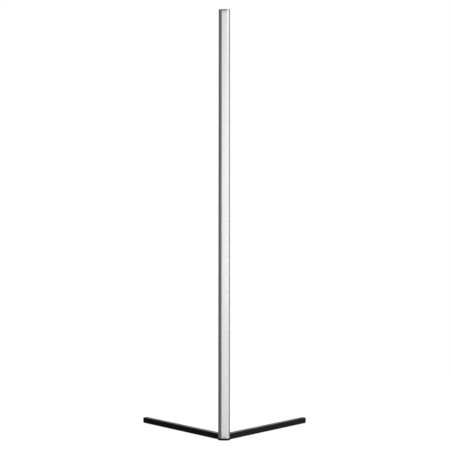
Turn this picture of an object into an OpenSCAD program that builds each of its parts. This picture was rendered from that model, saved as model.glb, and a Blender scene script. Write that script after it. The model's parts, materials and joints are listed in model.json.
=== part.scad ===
// Corner floor lamp: a slim light pole that stands where two floor legs meet.
// Millimetres. The origin is on the floor, where the two leg axes cross under the pole.
// +Z is up, +X is to the right, and +Y points back between the legs, into the corner of the room.

/* [Overall] */
// Height from the floor to the top of the cap
lamp_h = 1420; // [1100:10:1700]
// Thickness of the rubber pads under the lamp
pad_t = 1; // [0.8:0.1:1.5]

/* [Pole] */
// Width of the pole from side to side, and twice its depth behind the leg axes
pole_w = 38; // [38:0.5:41]
// Distance from the crossing of the leg axes to the front of the pole
pole_front = 10; // [10:0.5:12]
// Radius of the shallow dome across the front
dome_r = 50; // [45:1:70]
// Radius of the two front corners
corner_r = 3.5; // [3:0.5:4]
// Wall of the aluminium profile
wall = 1.6; // [1.4:0.1:1.8]
// Rear wall of the profile, thick enough for countersunk screws
back_wall = 2.4; // [2.4:0.1:2.6]
// Length of each joiner inside the profile
joiner_l = 110; // [100:5:140]

/* [Light] */
// Width of the slot that the diffuser fills
slot_w = 17; // [15:0.5:18]
// Wall of the diffuser
diffuser_t = 1.5; // [1.2:0.1:1.6]
// Distance between the light chips
chip_pitch = 16.5; // [12:0.5:33]

/* [Legs] */
// Side of the square leg tube, and width of the pole's rear flanks
leg_size = 18; // [17:0.5:18]
// Wall of the leg tube
leg_wall = 1.5; // [1.2:0.1:1.6]
// Outer corner radius of the leg tube
leg_corner_r = 1.5; // [1:0.5:2]
// Distance from the crossing of the leg axes to the tip of a leg
leg_reach = 406; // [300:2:500]

/* [Foot] */
// Height of the black rim under the pole
rim_h = 6; // [5:0.5:8]
// Height of the plug that holds the pole, above the rim
plug_h = 30; // [24:1:30]
// Length of each spigot inside its leg tube
spigot_l = 48; // [44:1:60]

/* [Controls] */
// Height of the power inlet above the floor
inlet_z = 58; // [56:1:60]
// Height of the receiver's window above the floor
window_z = 86; // [84:1:88]
// Height of the button above the floor
button_z = 106; // [104:1:108]
// Travel of the button
button_travel = 0.6; // [0.4:0.1:0.7]

/* [Hidden] */
$fn = 64;

// Clearances: between pieces that fit, between pieces that slide together, and around screws
fit_gap = 0.1;
slide_gap = 0.2;
screw_play = 0.15;
thread_play = 0.05;
// How far a tapped hole goes past its screw, and how far a cutting shape goes past what it cuts
blind_extra = 1;
cut = 0.5;

// Pole outline: the rear flanks are as wide as a leg and square to it
cap_t = 1.5;
pole_z = pad_t + rim_h;
section_l = (lamp_h - cap_t - pole_z) / 3;
joint_z = [pole_z + section_l, pole_z + 2 * section_l];
side_x = pole_w / 2;
back_y = pole_w / 2;
flank_run = leg_size / sqrt(2);
flank_sum = 2 * side_x - flank_run;
flank_reach = flank_sum / sqrt(2);
back_flat = pole_w - 2 * flank_run;
dome_y = dome_r - pole_front;
corner_x = side_x - corner_r;
corner_y = dome_y - sqrt(pow(dome_r - corner_r, 2) - pow(corner_x, 2));

// Inside the profile: the web that carries the light strip, the screw ports and the board's grooves
web_y = 0.5;
web_t = 1.5;
port_r = 3.1;
port_core_r = 1.5;
port_x = side_x - 4.4;
port_y = -1.3;
rib_x = side_x - 5;
rib_t = 1;
rear_rib_w = 1.8;
groove_gap = 0.15;
board_t = 1.6;
board_y = 6;
chamber_gap = 0.3;
chamber_x = rib_x - chamber_gap;
chamber_sum = flank_sum - wall * sqrt(2) - chamber_gap;
chamber_back = back_y - back_wall - fit_gap;
joiner_hole = [8.5, 5.6];
joiner_hole_r = 2.2;

// The cap's tongue inside the profile, and the pocket that lightens it
tongue_h = 6;
tongue_pocket = [16, 9];

// Screws: radii of shank and head, and lengths
tap_r = 1.45;
tap_head_r = 3.1;
cap_head_r = port_core_r + cap_t;
cap_screw_l = 14;
foot_screw_l = 20;
joiner_screw_r = 1.95;
joiner_head_r = 3.9;
joiner_screw_l = 12;
joiner_screw_steps = [-40, -15, 15, 40];
leg_screw_r = 2.45;
leg_head_r = 4.4;
leg_head_h = 2.6;
leg_screw_l = 10;
leg_socket_depth = 1.6;
leg_screw_steps = [14, 38];
panel_screw_r = 1.2;
panel_head_r = 2.2;
panel_screw_l = 7;

// The diffuser's two inner legs, which end in hooks that snap behind the wings
snap_t = 1.4;
hook_w = 1.2;
hook_h = 1.3;
hook_y = -pole_front + wall + 1.1;

// Light strip
strip_z = 30;
strip_top = lamp_h - cap_t - 8;
strip_w = 10;
strip_t = 0.4;
tape_t = 0.2;
chip_w = 5;
chip_t = 1.6;
chip_lens_r = 2;
chip_lens_t = 0.3;
strip_y = web_y - tape_t - strip_t;
first_chip_z = strip_z + 12;

// Foot and legs
plug_y = 4.9;
spigot_w = leg_size - 2 * leg_wall - 2 * slide_gap;
leg_axis_z = pad_t + leg_size / 2;
leg_cap_t = 2;
leg_insert_l = 16;
leg_insert_wall = 2;
leg_pad_l = 28;
leg_pad_w = 12;
leg_pad_end = 10;
foot_pad_inset = 2.4;
foot_pad_hole_r = tap_head_r + 0.9;

// Control panel and electronics
panel_t = 1.2;
panel_w = back_flat - 1.4;
panel_body_w = panel_w - 2;
panel_z = [38, 132];
panel_screw_z = [panel_z[0] + 4.5, panel_z[1] - 4.5];
panel_slot_z = [panel_z[0] + 9, panel_z[1] - 9];
panel_y = back_y + panel_t;
board_z = [pole_z + plug_h, 128];
board_w = 2 * (side_x - 4.1);
board_back = board_y + board_t;
button_r = 2.9;
button_proud = button_travel + 0.2;
button_rim_r = 4.1;
button_rim_t = 1.3;
button_rim_gap = 0.3;
dish_r = 8;
dish_depth = 0.35;
running_gap = 0.08;
switch_w = 6;
switch_h = 3.5;
stem_r = 1.7;
stem_depth = 1.1;
jack_w = 9;
jack_neck_r = 3.6;
jack_bore_r = 2.85;
jack_bore_l = 9.5;
jack_pin_r = 1;
jack_pin_play = 0.03;
window_r = 2.4;
receiver_w = 5.6;
receiver_h = 6.2;
receiver_t = 4.6;
receiver_lens_r = 2.4;
radio_size = [12, 2.4, 13];
radio_z = 112;
driver_size = [4, 1.6, 5];
driver_place = [-9, 70];
capacitor_r = 3.1;
capacitor_l = 5.4;
capacitor_place = [5.5, 73];
lead_r = 0.65;
lead_pitch = 3;
lead_turn_z = strip_z - 4;
lead_front_y = strip_y - lead_r;
lead_back_y = 3.4;
lead_overlap = 6;
lead_hole_w = 9;
lead_hole_z = [22.5, 29];
connector_w = 10;
connector_front_y = lead_back_y - 1.2;
connector_z = [57, 63];

// ---- Shared shapes ----

// The pole's outline, or the same outline stepped in by inset, with its back stepped in by back_inset
module pole_outline(inset = 0, back_inset = 0) {
    side = side_x - inset;
    sum = flank_sum - inset * sqrt(2);
    back = back_y - back_inset;
    drop = corner_y - dome_y;
    reach = 1.2;
    translate([0, dome_y]) intersection() {
        circle(dome_r - inset, $fn = 128);
        polygon([
            [-corner_x, drop], [corner_x, drop],
            [corner_x * reach, drop * reach], [-corner_x * reach, drop * reach]
        ]);
    }
    for (s = [-1, 1]) translate([s * corner_x, corner_y]) circle(corner_r - inset);
    polygon([
        [-side, corner_y], [side, corner_y], [side, sum - side],
        [sum - back, back], [back - sum, back], [-side, sum - side]
    ]);
}

// What fills the chamber behind the web, from front_y to the rear wall
module chamber_outline(front_y) {
    polygon([
        [-chamber_x, front_y], [chamber_x, front_y], [chamber_x, chamber_sum - chamber_x],
        [chamber_sum - chamber_back, chamber_back], [chamber_back - chamber_sum, chamber_back],
        [-chamber_x, chamber_sum - chamber_x]
    ]);
}

module rounded_square(size, r) {
    square([size, size - 2 * r], center = true);
    square([size - 2 * r, size], center = true);
    for (x = [-1, 1], y = [-1, 1]) translate([x * (size / 2 - r), y * (size / 2 - r)]) circle(r);
}

module stadium(w, l) {
    square([w, l - w], center = true);
    for (s = [-1, 1]) translate([0, s * (l - w) / 2]) circle(w / 2);
}

// Places a shape on the rear of the pole: its +Z points into the pole, its +Y points up
module from_back(y, z) {
    translate([0, y, z]) rotate([90, 0, 0]) children();
}

// Places a shape on a leg: its +X runs out along the leg and its +Y faces the other leg
module on_leg(side) {
    mirror([side < 0 ? 1 : 0, 0, 0]) rotate([0, 0, 45]) translate([0, 0, leg_axis_z]) children();
}

module along_leg() {
    rotate([90, 0, 90]) children();
}

// Countersunk screw, its head's face at z = 0 and its shank towards +Z
module flat_screw(r, head_r, length) {
    head_h = head_r - r;
    difference() {
        union() {
            cylinder(h = head_h, r1 = head_r, r2 = r);
            cylinder(h = length, r = r);
        }
        translate([0, 0, -cut]) cylinder(h = cut + 0.8 * head_h, r = 0.5 * head_r, $fn = 6);
    }
}

module flat_screw_hole(r, head_r, depth) {
    grow = head_r - r;
    translate([0, 0, -cut]) cylinder(h = cut + grow, r1 = head_r + cut, r2 = r);
    translate([0, 0, -cut]) cylinder(h = depth + cut, r = r);
}

// Button-head screw, its head behind z = 0 and its shank towards +Z
module button_screw(r, head_r, head_h, length) {
    ball_r = (head_r * head_r + head_h * head_h) / (2 * head_h);
    difference() {
        union() {
            intersection() {
                translate([0, 0, ball_r - head_h]) sphere(ball_r);
                translate([0, 0, -head_h]) cylinder(h = head_h, r = head_r);
            }
            cylinder(h = length, r = r);
        }
        translate([0, 0, -head_h - cut]) cylinder(h = leg_socket_depth + cut, r = 0.4 * head_r, $fn = 6);
    }
}

// ---- Pole ----

module pole_profile() {
    difference() {
        pole_outline();
        pole_outline(wall, back_wall);
        translate([-slot_w / 2, -pole_front - 1]) square([slot_w, 5]);
    }
    difference() {
        union() {
            translate([-side_x + wall / 2, web_y]) square([pole_w - wall, web_t]);
            for (s = [-1, 1]) translate([s * port_x, port_y]) circle(port_r);
        }
        for (s = [-1, 1]) translate([s * port_x, port_y]) circle(port_core_r);
    }
    front_rib_w = side_x - wall / 2 - rib_x;
    for (s = [-1, 1]) {
        translate([s * (rib_x + front_rib_w / 2), board_y - groove_gap - rib_t / 2])
            square([front_rib_w, rib_t], center = true);
        translate([s * (rib_x + rear_rib_w / 2), board_back + groove_gap + rib_t / 2])
            square([rear_rib_w, rib_t], center = true);
    }
}

module pole_section(index) {
    z = pole_z + index * section_l;
    color("silver") difference() {
        translate([0, 0, z]) linear_extrude(section_l) pole_profile();
        for (joint = joint_z, step = joiner_screw_steps)
            if (joint + step > z && joint + step < z + section_l)
                from_back(back_y, joint + step) flat_screw_hole(
                    joiner_screw_r + screw_play, joiner_head_r + screw_play, back_wall + cut
                );
        if (index == 0) lower_section_cuts();
    }
}

// Openings that only the lowest length has: leg spigots, control panel, its screws, and the leads
module lower_section_cuts() {
    slot_l = panel_slot_z[1] - panel_slot_z[0];
    through = back_wall + 2 * cut;
    spigots(spigot_w + 2 * slide_gap, plug_y - slide_gap);
    from_back(back_y + cut, panel_slot_z[0] + slot_l / 2)
        linear_extrude(through) stadium(panel_body_w + slide_gap, slot_l);
    for (z = panel_screw_z)
        from_back(back_y + cut, z) cylinder(h = through, r = panel_screw_r + thread_play);
    translate([-lead_hole_w / 2, web_y - cut, lead_hole_z[0]])
        cube([lead_hole_w, web_t + 2 * cut, lead_hole_z[1] - lead_hole_z[0]]);
}

module pole_section_lower() { pole_section(0); }
module pole_section_middle() { pole_section(1); }
module pole_section_upper() { pole_section(2); }

module joiner(z) {
    color("gainsboro") difference() {
        translate([0, 0, z - joiner_l / 2]) linear_extrude(joiner_l) difference() {
            chamber_outline(web_y + web_t + fit_gap);
            for (s = [-1, 1])
                translate([s * joiner_hole[0], joiner_hole[1]]) circle(joiner_hole_r);
        }
        for (step = joiner_screw_steps)
            from_back(back_y, z + step)
                cylinder(h = joiner_screw_l + blind_extra, r = joiner_screw_r + thread_play);
    }
}

module joiner_lower() { joiner(joint_z[0]); }
module joiner_upper() { joiner(joint_z[1]); }

module joiner_screws() {
    color("dimgray") for (joint = joint_z, step = joiner_screw_steps)
        from_back(back_y, joint + step) flat_screw(joiner_screw_r, joiner_head_r, joiner_screw_l);
}

module top_cap() {
    color("black") difference() {
        union() {
            translate([0, 0, lamp_h - cap_t]) linear_extrude(cap_t) pole_outline();
            translate([0, 0, lamp_h - cap_t - tongue_h]) linear_extrude(tongue_h + cut) difference() {
                chamber_outline(web_y + web_t + chamber_gap);
                translate([0, tongue_pocket[1] / 2]) square(tongue_pocket, center = true);
            }
        }
        for (s = [-1, 1]) translate([s * port_x, port_y, lamp_h]) rotate([180, 0, 0])
            flat_screw_hole(tap_r + screw_play, cap_head_r + screw_play, cap_t + cut);
    }
}

module top_cap_screws() {
    color("dimgray") for (s = [-1, 1]) translate([s * port_x, port_y, lamp_h]) rotate([180, 0, 0])
        flat_screw(tap_r, cap_head_r, cap_screw_l);
}

// ---- Light ----

module diffuser_profile() {
    head_w = slot_w - 2 * fit_gap;
    overlap = 1;
    difference() {
        intersection() {
            pole_outline();
            translate([-head_w / 2, -pole_front - overlap]) square([head_w, diffuser_t + 2 * overlap]);
        }
        translate([0, dome_y]) circle(dome_r - diffuser_t, $fn = 128);
    }
    for (s = [-1, 1]) {
        translate([s * (head_w - snap_t) / 2, hook_y - overlap + hook_h / 2])
            square([snap_t, hook_h + 2 * overlap], center = true);
        translate([s * (head_w + hook_w - snap_t) / 2, hook_y + hook_h / 2])
            square([snap_t + hook_w, hook_h], center = true);
    }
}

module diffuser() {
    color("whitesmoke") translate([0, 0, pole_z]) linear_extrude(3 * section_l) diffuser_profile();
}

module strip_tape() {
    color("gold") translate([-strip_w / 2, web_y - tape_t, strip_z])
        cube([strip_w, tape_t, strip_top - strip_z]);
}

module led_strip() {
    color("white") translate([-strip_w / 2, strip_y, strip_z])
        cube([strip_w, strip_t, strip_top - strip_z]);
}

module led_chips() {
    count = floor((strip_top - first_chip_z - chip_w) / chip_pitch) + 1;
    color("ivory") for (i = [0:count - 1]) from_back(strip_y, first_chip_z + i * chip_pitch) difference() {
        translate([-chip_w / 2, -chip_w / 2, 0]) cube([chip_w, chip_w, chip_t]);
        translate([0, 0, chip_t - chip_lens_t])
            cylinder(h = chip_lens_t + cut, r = chip_lens_r, $fn = 24);
    }
}

// ---- Foot and legs ----

// Two square bars along the leg axes, kept behind front_y
module spigots(w, front_y) {
    intersection() {
        for (side = [-1, 1])
            on_leg(side) translate([0, -w / 2, -w / 2]) cube([flank_reach + spigot_l, w, w]);
        translate([-leg_reach, front_y, 0]) cube([2 * leg_reach, leg_reach, 2 * leg_size]);
    }
}

module foot_block() {
    color("black") difference() {
        union() {
            translate([0, 0, pad_t]) linear_extrude(rim_h) pole_outline();
            translate([0, 0, pad_t]) linear_extrude(rim_h + plug_h) chamber_outline(plug_y);
            spigots(spigot_w, plug_y);
        }
        for (s = [-1, 1]) translate([s * port_x, port_y, pad_t])
            flat_screw_hole(tap_r + screw_play, tap_head_r + screw_play, rim_h + cut);
        for (side = [-1, 1], step = leg_screw_steps)
            leg_screw_place(side, step)
                cylinder(h = leg_screw_l + blind_extra, r = leg_screw_r + thread_play);
    }
}

module foot_screws() {
    color("dimgray") for (s = [-1, 1]) translate([s * port_x, port_y, pad_t])
        flat_screw(tap_r, tap_head_r, foot_screw_l);
}

module foot_pad() {
    color("dimgray") linear_extrude(pad_t) difference() {
        pole_outline(foot_pad_inset, foot_pad_inset);
        for (s = [-1, 1]) translate([s * port_x, port_y]) circle(foot_pad_hole_r);
    }
}

module leg_screw_place(side, step) {
    on_leg(side) translate([flank_reach + step, leg_size / 2, 0]) rotate([90, 0, 0]) children();
}

module leg(side) {
    color("black") difference() {
        on_leg(side) translate([flank_reach, 0, 0]) along_leg()
            linear_extrude(leg_reach - leg_cap_t - flank_reach) difference() {
                rounded_square(leg_size, leg_corner_r);
                square(leg_size - 2 * leg_wall, center = true);
            }
        for (step = leg_screw_steps)
            leg_screw_place(side, step) translate([0, 0, -cut])
                cylinder(h = leg_wall + 2 * cut, r = leg_screw_r + screw_play);
    }
}

module leg_left() { leg(-1); }
module leg_right() { leg(1); }

module leg_plug(side) {
    insert = leg_size - 2 * leg_wall - slide_gap;
    color("black") on_leg(side) translate([leg_reach - leg_cap_t - leg_insert_l, 0, 0]) along_leg() {
        translate([0, 0, leg_insert_l]) linear_extrude(leg_cap_t) rounded_square(leg_size, leg_corner_r);
        linear_extrude(leg_insert_l + cut) difference() {
            square(insert, center = true);
            square(insert - 2 * leg_insert_wall, center = true);
        }
    }
}

module leg_plug_left() { leg_plug(-1); }
module leg_plug_right() { leg_plug(1); }

module leg_pad(side) {
    color("dimgray") on_leg(side) translate([leg_reach - leg_pad_end - leg_pad_l / 2, 0, -leg_axis_z])
        linear_extrude(pad_t) rotate(90) stadium(leg_pad_w, leg_pad_l);
}

module leg_pad_left() { leg_pad(-1); }
module leg_pad_right() { leg_pad(1); }

module leg_screws() {
    color("dimgray") for (side = [-1, 1], step = leg_screw_steps)
        leg_screw_place(side, step) button_screw(leg_screw_r, leg_head_r, leg_head_h, leg_screw_l);
}

// ---- Controls, on the rear of the lowest length ----

module control_panel() {
    body_l = panel_slot_z[1] - panel_slot_z[0] - slide_gap;
    middle = (panel_z[0] + panel_z[1]) / 2;
    through = panel_t + back_wall + 2 * cut;
    color("black") difference() {
        union() {
            from_back(panel_y, middle) linear_extrude(panel_t) stadium(panel_w, panel_z[1] - panel_z[0]);
            from_back(panel_y, middle) linear_extrude(panel_t + back_wall) stadium(panel_body_w, body_l);
        }
        from_back(panel_y + cut, button_z) cylinder(h = through, r = button_r + running_gap);
        from_back(panel_y + cut, window_z) cylinder(h = through, r = window_r + thread_play);
        from_back(panel_y + cut, inlet_z) cylinder(h = through, r = jack_neck_r + fit_gap);
        for (z = panel_screw_z) from_back(panel_y, z)
            flat_screw_hole(panel_screw_r + screw_play, panel_head_r + screw_play, panel_t + cut);
    }
}

module panel_screws() {
    color("dimgray") for (z = panel_screw_z)
        from_back(panel_y, z) flat_screw(panel_screw_r, panel_head_r, panel_screw_l);
}

module ir_window() {
    color("darkred") from_back(panel_y, window_z) cylinder(h = panel_t + back_wall, r = window_r);
}

// The cap slides through the panel, and its rim keeps it from falling out
module power_button() {
    cap_l = button_proud + panel_t + back_wall + button_rim_gap;
    color("gray") difference() {
        from_back(panel_y + button_proud, button_z) union() {
            cylinder(h = cap_l + button_rim_t, r = button_r);
            translate([0, 0, cap_l]) cylinder(h = button_rim_t, r = button_rim_r);
        }
        from_back(panel_y + button_proud + dish_r - dish_depth, button_z) sphere(dish_r, $fn = 96);
    }
}

module switch_stem() {
    inner_y = back_y - back_wall - button_rim_gap - button_rim_t;
    stem_l = inner_y - (board_back + switch_h) + stem_depth;
    color("black") from_back(inner_y, button_z) cylinder(h = stem_l, r = stem_r);
}

module switch_body() {
    color("silver") from_back(board_back + switch_h, button_z) difference() {
        translate([-switch_w / 2, -switch_w / 2, 0]) cube([switch_w, switch_w, switch_h]);
        translate([0, 0, -cut])
            cylinder(h = cut + stem_depth + button_travel + button_rim_gap, r = stem_r + running_gap);
    }
}

module controller_board() {
    color("darkgreen") translate([-board_w / 2, board_y, board_z[0]])
        cube([board_w, board_t, board_z[1] - board_z[0]]);
}

module power_jack() {
    body_y = back_y - back_wall - fit_gap;
    color("black") from_back(0, inlet_z) difference() {
        union() {
            translate([-jack_w / 2, -jack_w / 2, -body_y]) cube([jack_w, jack_w, body_y - board_back]);
            translate([0, 0, -panel_y]) cylinder(h = panel_y - body_y + cut, r = jack_neck_r);
        }
        translate([0, 0, -panel_y - cut]) cylinder(h = jack_bore_l + cut, r = jack_bore_r);
        translate([0, 0, -panel_y]) cylinder(h = jack_bore_l + 2, r = jack_pin_r + jack_pin_play);
    }
}

module jack_pin() {
    color("gold") from_back(panel_y - 1, inlet_z) cylinder(h = jack_bore_l + 1, r = jack_pin_r);
}

module ir_receiver() {
    color("black") from_back(board_back + receiver_t, window_z) {
        translate([-receiver_w / 2, -receiver_h / 2, 0]) cube([receiver_w, receiver_h, receiver_t]);
        intersection() {
            translate([0, 0, cut]) sphere(receiver_lens_r);
            translate([-receiver_w / 2, -receiver_h / 2, -receiver_lens_r])
                cube([receiver_w, receiver_h, receiver_lens_r + cut]);
        }
    }
}

module radio_module() {
    color("silver") translate([-radio_size[0] / 2, board_back, radio_z]) cube(radio_size);
}

module driver_chip() {
    color("black") translate([driver_place[0], board_back, driver_place[1]]) cube(driver_size);
}

module capacitor() {
    color("navy") translate([capacitor_place[0], 0, 0])
        from_back(board_back + capacitor_l, capacitor_place[1]) cylinder(h = capacitor_l, r = capacitor_r);
}

module lead_connector() {
    color("ivory") translate([-connector_w / 2, connector_front_y, connector_z[0]])
        cube([connector_w, board_y - connector_front_y, connector_z[1] - connector_z[0]]);
}

// Each lead goes down behind the web, turns under it through the hole, and up to the strip
module strip_leads() {
    turn_r = (lead_back_y - lead_front_y) / 2;
    color("white") for (i = [-1, 0, 1]) translate([i * lead_pitch, 0, lead_turn_z]) {
        translate([0, lead_back_y, 0]) cylinder(h = connector_z[0] - lead_turn_z, r = lead_r);
        translate([0, lead_front_y, 0]) cylinder(h = strip_z + lead_overlap - lead_turn_z, r = lead_r);
        translate([0, lead_back_y - turn_r, 0]) rotate([-90, 0, -90])
            rotate_extrude(angle = 180) translate([turn_r, 0]) circle(lead_r);
    }
}

pole_section_lower();
pole_section_middle();
pole_section_upper();
joiner_lower();
joiner_upper();
joiner_screws();
diffuser();
strip_tape();
led_strip();
led_chips();
top_cap();
top_cap_screws();
foot_block();
foot_screws();
foot_pad();
leg_left();
leg_right();
leg_plug_left();
leg_plug_right();
leg_pad_left();
leg_pad_right();
leg_screws();
control_panel();
panel_screws();
ir_window();
power_button();
switch_stem();
switch_body();
controller_board();
power_jack();
jack_pin();
ir_receiver();
radio_module();
driver_chip();
capacitor();
lead_connector();
strip_leads();
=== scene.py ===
"""The looks of a corner floor lamp: its finishes, modelled pieces, floor, light and camera. Metres."""
import json
import math

import bpy
from mathutils import Matrix, Vector


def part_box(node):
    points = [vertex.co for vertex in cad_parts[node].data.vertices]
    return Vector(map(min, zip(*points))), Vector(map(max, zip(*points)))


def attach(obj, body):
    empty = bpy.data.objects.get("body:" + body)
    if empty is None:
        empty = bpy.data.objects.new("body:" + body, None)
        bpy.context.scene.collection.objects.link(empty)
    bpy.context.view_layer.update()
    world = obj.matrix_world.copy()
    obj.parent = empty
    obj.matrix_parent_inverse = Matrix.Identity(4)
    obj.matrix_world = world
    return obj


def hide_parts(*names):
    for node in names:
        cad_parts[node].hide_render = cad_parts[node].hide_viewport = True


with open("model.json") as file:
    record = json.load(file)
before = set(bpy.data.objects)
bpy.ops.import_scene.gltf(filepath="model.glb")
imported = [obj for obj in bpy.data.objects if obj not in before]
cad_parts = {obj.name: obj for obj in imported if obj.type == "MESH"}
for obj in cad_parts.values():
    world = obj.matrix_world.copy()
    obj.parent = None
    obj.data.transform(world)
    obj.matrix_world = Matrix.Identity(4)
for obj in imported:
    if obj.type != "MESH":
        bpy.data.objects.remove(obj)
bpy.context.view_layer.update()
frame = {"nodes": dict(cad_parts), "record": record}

MM = 0.001
# Two places this close count as the same place, and two points this close become one
NEAR = 0.01 * MM
WELD = 0.001 * MM
# The least cosine between a face's normal and the direction that it looks in
FACING = 0.9
# Degrees between two faces, past which the edge between them is a sharp one
SHARP = 30
# A round stretch of an outline has points at these shares of its width or of its angle
ROUND = [step / 8 for step in range(9)]

# ---- Sizes that the pieces share ----

POLE_LOW, POLE_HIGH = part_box("top_cap")
POLE_SIDE = POLE_HIGH.x
POLE_FRONT = POLE_LOW.y
DOME_RADIUS = 50 * MM

LEG_SIZE = 18 * MM
LEG_WALL = 1.5 * MM
LEG_CORNER_RADIUS = 1.5 * MM
LEG_CORNER_STEPS = 6
LEG_AXIS_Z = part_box("leg_right")[0].z + LEG_SIZE / 2
LEG_TURN = math.radians(45)
LEG_START = (2 * POLE_SIDE - LEG_SIZE / math.sqrt(2)) / math.sqrt(2)
LEG_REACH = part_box("leg_plug_right")[1].x * math.sqrt(2) - LEG_SIZE / 2
LEG_CAP = 2 * MM
LEG_END = LEG_REACH - LEG_CAP
LEG_SCREW_STEPS = (14 * MM, 38 * MM)

CHIP_PITCH = 16.5 * MM
CHIPS_LOW, CHIPS_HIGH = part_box("led_chips")
CHIP_SIZE = CHIPS_HIGH.x - CHIPS_LOW.x
CHIP_COUNT = round((CHIPS_HIGH.z - CHIPS_LOW.z - CHIP_SIZE) / CHIP_PITCH) + 1
# The steps from the first chip to each chip, and from the first gap between two chips to each gap
CHIP_STEPS = [Matrix.Translation((0, 0, number * CHIP_PITCH)) for number in range(CHIP_COUNT)]
GAP_STEPS = CHIP_STEPS[:-1]


# ---- Working on a mesh as by hand ----

def deselect_all():
    for each in bpy.context.selected_objects:
        each.select_set(False)


def select_only(piece):
    deselect_all()
    piece.select_set(True)
    bpy.context.view_layer.objects.active = piece


def named(name):
    """Gives the piece that is being worked on its name."""
    piece = bpy.context.object
    piece.name = name
    piece.data.name = name
    return piece


def object_mode():
    bpy.ops.object.mode_set(mode="OBJECT")


def edit_mode():
    bpy.ops.object.mode_set(mode="EDIT")


def select_everything():
    """Goes into edit mode with the whole mesh selected."""
    edit_mode()
    bpy.ops.mesh.select_all(action="SELECT")


def select_nothing(kind):
    """Leaves nothing of the mesh selected, with faces, edges or points to be picked next."""
    edit_mode()
    bpy.ops.mesh.select_mode(type=kind)
    bpy.ops.mesh.select_all(action="DESELECT")
    object_mode()


def select_faces(piece, wanted):
    """Goes into edit mode with the faces selected for which wanted(centre, normal) is true."""
    select_nothing("FACE")
    for face in piece.data.polygons:
        face.select = wanted(face.center, face.normal)
    edit_mode()


def select_facing(piece, *direction):
    """Goes into edit mode with the faces selected that look in a direction."""
    select_faces(piece, lambda centre, normal: normal.dot(Vector(direction)) > FACING)


def select_edges(piece, wanted):
    """Goes into edit mode with the edges selected for which wanted(end, other end) is true."""
    select_nothing("EDGE")
    corners = piece.data.vertices
    for edge in piece.data.edges:
        edge.select = wanted(corners[edge.vertices[0]].co, corners[edge.vertices[1]].co)
    edit_mode()


def select_points(piece, wanted):
    """Goes into edit mode with the points selected for which wanted(place) is true."""
    select_nothing("VERT")
    for point in piece.data.vertices:
        point.select = wanted(point.co)
    edit_mode()


def near(a, b):
    return abs(a - b) < NEAR


def extrude(x, y, z):
    bpy.ops.mesh.extrude_region_move(TRANSFORM_OT_translate={"value": (x, y, z)})


def inset(width, depth=0):
    bpy.ops.mesh.inset(thickness=width, depth=depth)


def bevel(width, segments):
    bpy.ops.mesh.bevel(offset=width, segments=segments)


def bevel_corners(piece, width, segments=1):
    """Bevels the edges of a block that run along the lamp's depth."""
    select_edges(piece, lambda a, b: near(a.x, b.x) and near(a.z, b.z))
    bevel(width, segments)
    object_mode()


def apply_modifier(piece, kind, **settings):
    select_only(piece)
    modifier = piece.modifiers.new(kind.lower(), kind)
    for name, value in settings.items():
        setattr(modifier, name, value)
    bpy.ops.object.modifier_apply(modifier=modifier.name)


def apply_place(piece):
    """Puts the piece's place into its mesh."""
    select_only(piece)
    bpy.ops.object.transform_apply(location=True, rotation=True, scale=True)


def turn_into_place(piece, matrix):
    piece.matrix_world = matrix
    apply_place(piece)


def tidy_mesh(piece, closer_than=WELD):
    """Merges what coincides and turns every face outwards."""
    select_only(piece)
    select_everything()
    bpy.ops.mesh.remove_doubles(threshold=closer_than)
    bpy.ops.mesh.normals_make_consistent(inside=False)
    object_mode()


def smooth_shading(piece, sharper_than=SHARP):
    select_only(piece)
    bpy.ops.object.shade_smooth_by_angle(angle=math.radians(sharper_than))
    apply_modifier(piece, "WEIGHTED_NORMAL", mode="FACE_AREA", weight=100, keep_sharp=True)


def soften_edges(piece, width, sharper_than=SHARP):
    """Rounds every sharp edge a little and shades the rest smooth."""
    apply_modifier(
        piece, "BEVEL", width=width, segments=2, limit_method="ANGLE",
        angle_limit=math.radians(sharper_than), use_clamp_overlap=True,
    )
    select_everything()
    bpy.ops.mesh.dissolve_degenerate(threshold=2 * WELD)
    object_mode()
    smooth_shading(piece, sharper_than)


def block(name, low, high):
    """A cube between two corners, to be worked on."""
    deselect_all()
    bpy.ops.mesh.primitive_cube_add(size=1, location=(Vector(low) + Vector(high)) / 2)
    piece = named(name)
    piece.scale = Vector(high) - Vector(low)
    apply_place(piece)
    return piece


def leg_bar(name, start, end):
    """A bar in the legs' section, along +X."""
    half = LEG_SIZE / 2
    return block(name, (start, -half, LEG_AXIS_Z - half), (end, half, LEG_AXIS_Z + half))


def cylinder(name, radius, length, middle, steps, turn=(0, 0, 0)):
    """A cylinder to be worked on or cut away, upright unless it is turned."""
    deselect_all()
    bpy.ops.mesh.primitive_cylinder_add(
        vertices=steps, radius=radius, depth=length, location=middle, rotation=turn,
    )
    piece = named(name)
    apply_place(piece)
    return piece


def rod(name, radius, low, high, place, steps=32):
    """A cylinder along the lamp's depth, from low to high: place is its (x, z)."""
    middle = (place[0], (low + high) / 2, place[1])
    return cylinder(name, radius, high - low, middle, steps, (math.radians(90), 0, 0))


def turned_piece(name, outline, steps=32):
    """A piece turned on a lathe: one point is drawn along the outline, (radius, height), and spun round Z."""
    deselect_all()
    bpy.ops.mesh.primitive_plane_add(size=1)
    piece = named(name)
    select_everything()
    bpy.ops.mesh.select_mode(type="VERT")
    bpy.ops.mesh.merge(type="CENTER")
    radius, height = outline[0]
    bpy.ops.transform.translate(value=(radius, 0, height))
    for next_radius, next_height in outline[1:]:
        extrude(next_radius - radius, 0, next_height - height)
        radius, height = next_radius, next_height
    select_everything()
    bpy.ops.mesh.spin(steps=steps, angle=2 * math.pi, center=(0, 0, 0), axis=(0, 0, 1))
    select_everything()
    bpy.ops.mesh.remove_doubles(threshold=WELD)
    select_everything()
    bpy.ops.mesh.fill_holes(sides=0)
    object_mode()
    tidy_mesh(piece)
    return piece


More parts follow.
